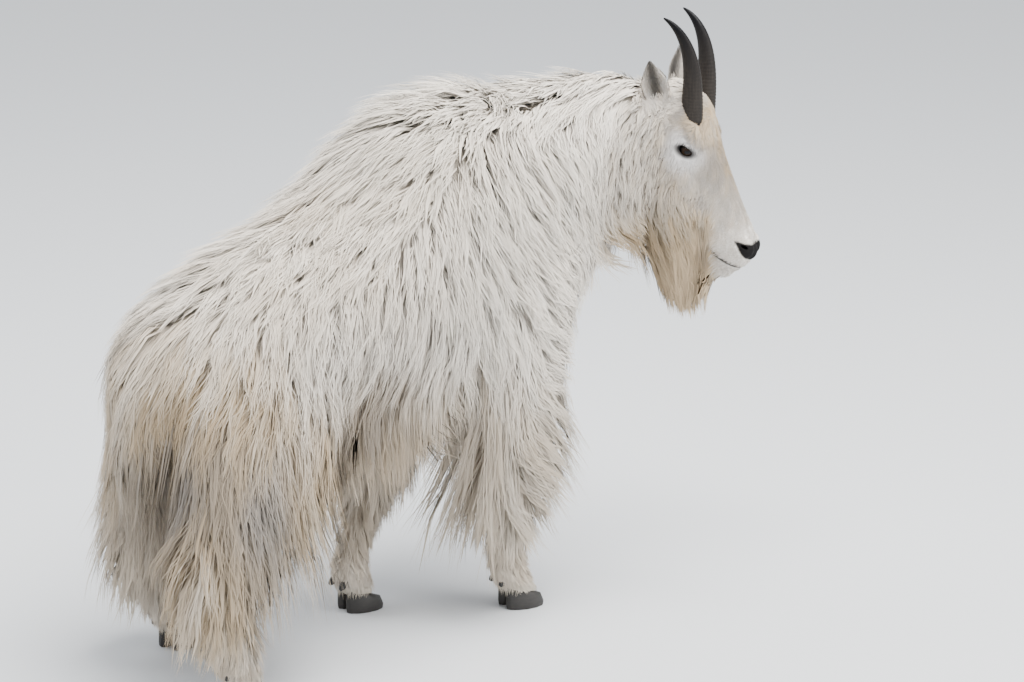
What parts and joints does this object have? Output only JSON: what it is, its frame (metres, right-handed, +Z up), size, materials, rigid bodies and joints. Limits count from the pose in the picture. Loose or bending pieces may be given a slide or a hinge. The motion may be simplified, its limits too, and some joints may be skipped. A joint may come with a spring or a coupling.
{
  "type": "mountain goat",
  "caption": "Still, life-size model of a standing male mountain goat with a long white winter coat, its head turned to its right.",
  "frame": {"origin": "middle of the bounding box at floor level, under the goat", "axes": "-Y is the way the body faces, -X is its right side, +Z is up"},
  "size_m": [0.5435, 1.2583, 1.0452],
  "materials": {
    "coat": "matt long hair",
    "horn": "satin horn",
    "hoof": "satin horn",
    "eye": "wet gloss"
  },
  "bodies": {
    "root": {"torso": "coat", "neck": "coat", "head": "coat", "tail": "coat", "leg_front_right": "coat", "leg_front_left": "coat", "leg_hind_right": "coat", "leg_hind_left": "coat", "hoof_front_right_outer": "hoof", "hoof_front_right_inner": "hoof", "hoof_front_left_outer": "hoof", "hoof_front_left_inner": "hoof", "hoof_hind_right_outer": "hoof", "hoof_hind_right_inner": "hoof", "hoof_hind_left_outer": "hoof", "hoof_hind_left_inner": "hoof", "horn_right": "horn", "horn_left": "horn", "ear_right": "coat", "ear_left": "coat", "eye_right": "eye", "eye_left": "eye"}
  },
  "joints": []
}
